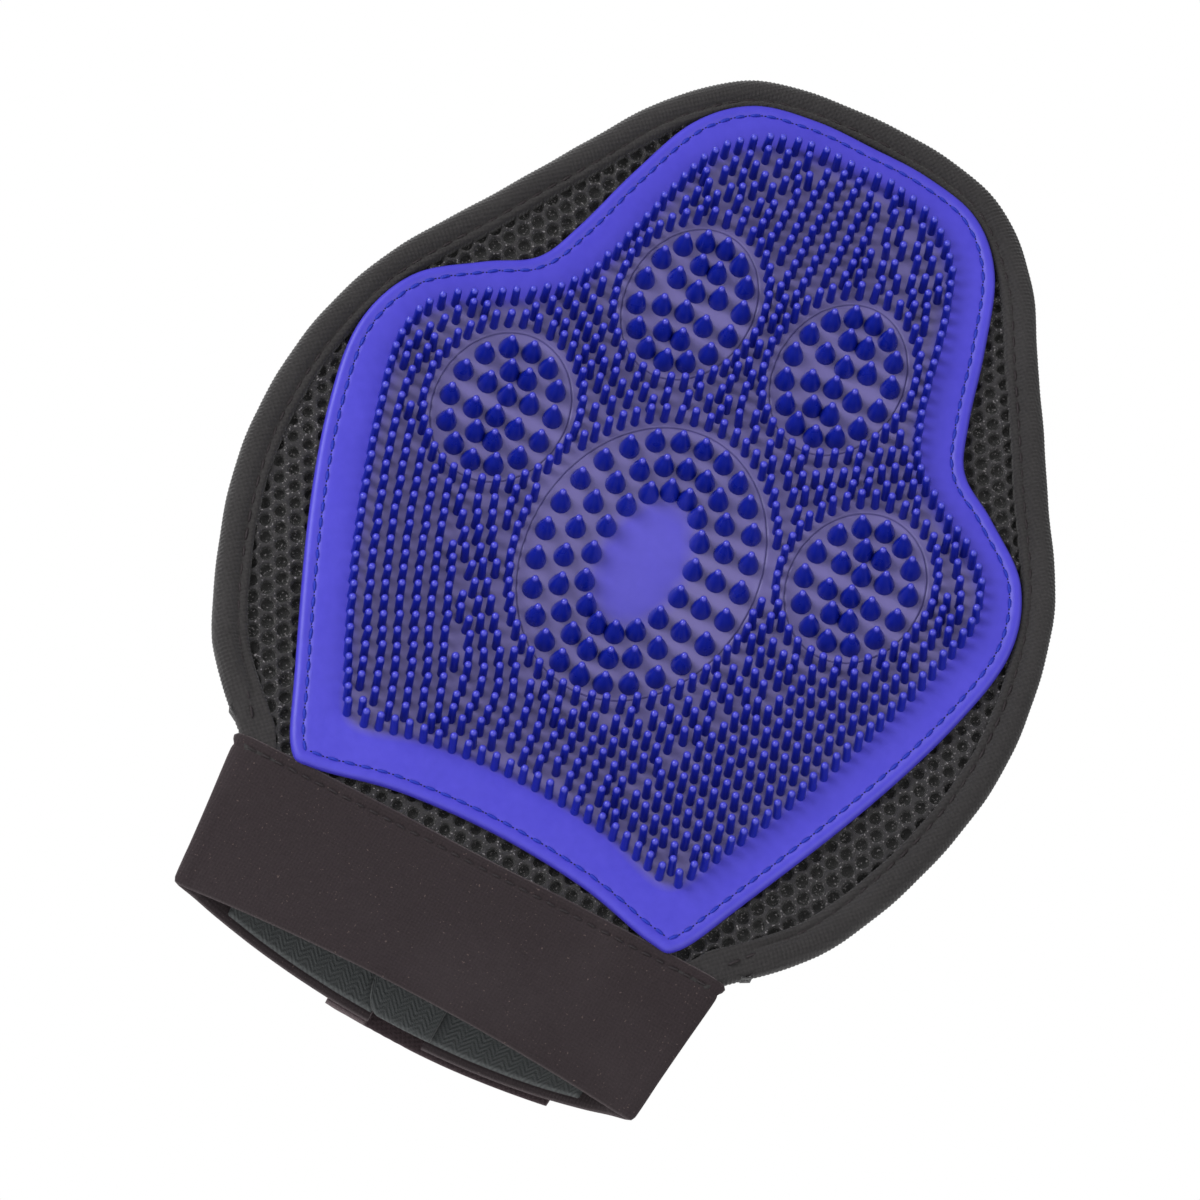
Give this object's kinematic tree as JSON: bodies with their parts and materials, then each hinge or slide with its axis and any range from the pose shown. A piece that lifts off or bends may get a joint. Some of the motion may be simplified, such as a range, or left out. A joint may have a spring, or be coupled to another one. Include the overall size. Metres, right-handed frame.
{
  "type": "grooming glove",
  "caption": "Mitt for grooming pets with a paw shaped rubber pin pad on the palm, a velour patch on the back and a wrist cuff closed by a hook and loop tab.",
  "frame": {"origin": "middle of the wrist opening, in the plane of the cuff's lower edge", "axes": "+Z from the wrist to the fingertips, +X across the hand, -Y out of the rubber pin face, +Y out of the velour face"},
  "size_m": [0.1792, 0.0391, 0.2355],
  "materials": {
    "pad_rubber": "satin moulded rubber",
    "pin_rubber": "satin moulded rubber",
    "stud_rubber": "satin moulded rubber",
    "spacer_mesh": "open spacer mesh",
    "inner_lining": "herringbone weave",
    "velour": "looped velour pile",
    "satin_edge": "satin stitched thread",
    "knit_binding": "ribbed knit",
    "cuff_fabric": "fine knit over foam",
    "loop_pile": "fuzzy loop pile",
    "hook_plastic": "moulded micro hooks",
    "blue_thread": "twisted thread",
    "dark_thread": "twisted thread"
  },
  "bodies": {
    "glove": {"brush_pad": "pad_rubber", "fine_pins": "pin_rubber", "toe_studs": "stud_rubber", "palm_studs": "stud_rubber", "pad_stitching": "blue_thread", "palm_panel": "spacer_mesh", "palm_lining": "inner_lining", "back_panel": "spacer_mesh", "velour_patch": "velour", "velour_edging": "satin_edge", "velour_stitching": "blue_thread", "edge_binding": "knit_binding", "binding_stitching": "dark_thread", "slit_binding": "knit_binding", "slit_stitching": "dark_thread", "cuff_front": "cuff_fabric", "cuff_lining": "inner_lining", "cuff_stitching": "dark_thread"},
    "loop_wing": {"loop_wing": "cuff_fabric", "loop_wing_lining": "inner_lining", "loop_wing_stitching": "dark_thread", "loop_patch": "loop_pile", "loop_patch_stitching": "dark_thread"},
    "tab_wing": {"tab_wing": "cuff_fabric", "tab_wing_lining": "inner_lining", "tab_wing_stitching": "dark_thread", "tab_root": "cuff_fabric"},
    "closure_tab": {"closure_tab": "cuff_fabric", "hook_patch": "hook_plastic", "tab_stitching": "dark_thread"}
  },
  "joints": [
    {"name": "closure_tab_fold", "type": "hinge", "parent": "tab_wing", "child": "closure_tab", "pos_m": [-0.007, 0.01614, 0.018], "axis": [0, 0, 1], "range_deg": [0, 150]},
    {"name": "tab_wing_spread", "type": "hinge", "parent": "glove", "child": "tab_wing", "pos_m": [-0.06, -0.0132, 0.018], "axis": [0, 0, 1], "range_deg": [0, 25]},
    {"name": "loop_wing_spread", "type": "hinge", "parent": "glove", "child": "loop_wing", "pos_m": [0.06, -0.0132, 0.018], "axis": [0, 0, -1], "range_deg": [0, 25]}
  ],
  "couplings": [
    {"joint": "tab_wing_spread", "follows": "closure_tab_fold", "ratio": 0.16666},
    {"joint": "loop_wing_spread", "follows": "closure_tab_fold", "ratio": 0.16666}
  ]
}
